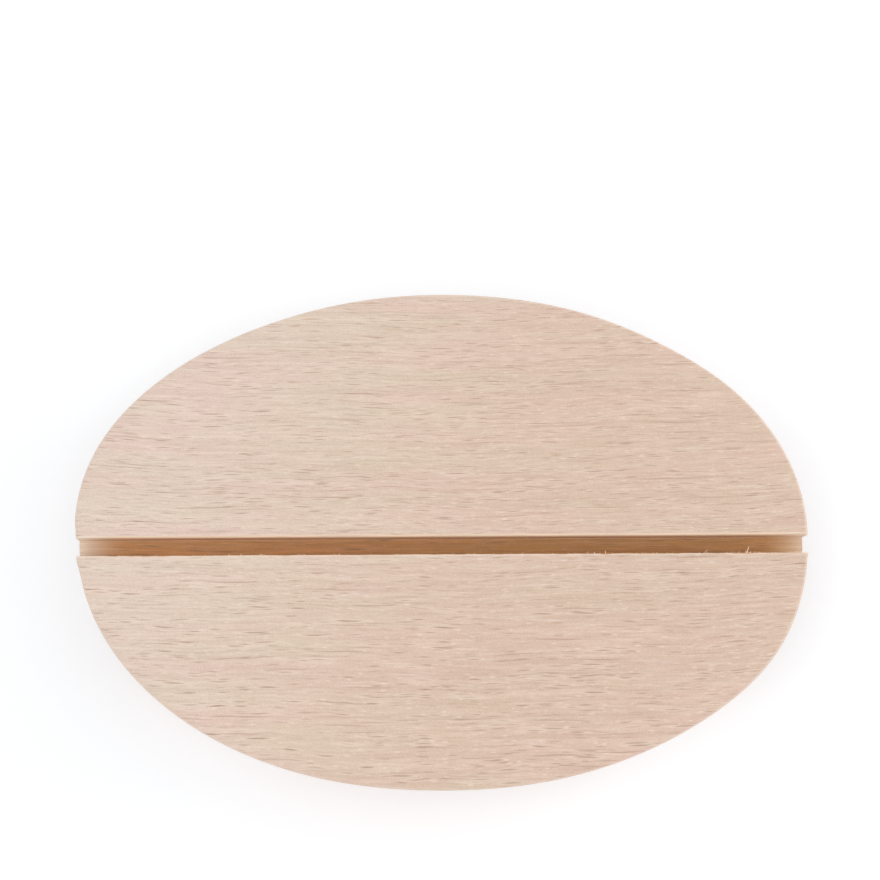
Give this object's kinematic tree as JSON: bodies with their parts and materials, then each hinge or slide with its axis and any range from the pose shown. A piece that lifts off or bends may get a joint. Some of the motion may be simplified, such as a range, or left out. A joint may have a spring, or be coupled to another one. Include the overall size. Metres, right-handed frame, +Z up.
{
  "type": "slotted stand",
  "caption": "Low oval block of bare beech with a saw slot along the middle of its flat top, which holds a card, menu or thin panel upright on a table.",
  "frame": {"origin": "middle of the flat base", "axes": "+X along the grain and the slot, +Y across the block away from the side that the slot is nearer to, +Z up out of the slot"},
  "size_m": [0.103, 0.07, 0.02],
  "materials": {
    "bare_beech": "sanded, unfinished"
  },
  "bodies": {
    "root": {"slotted_block": "bare_beech"}
  },
  "joints": []
}
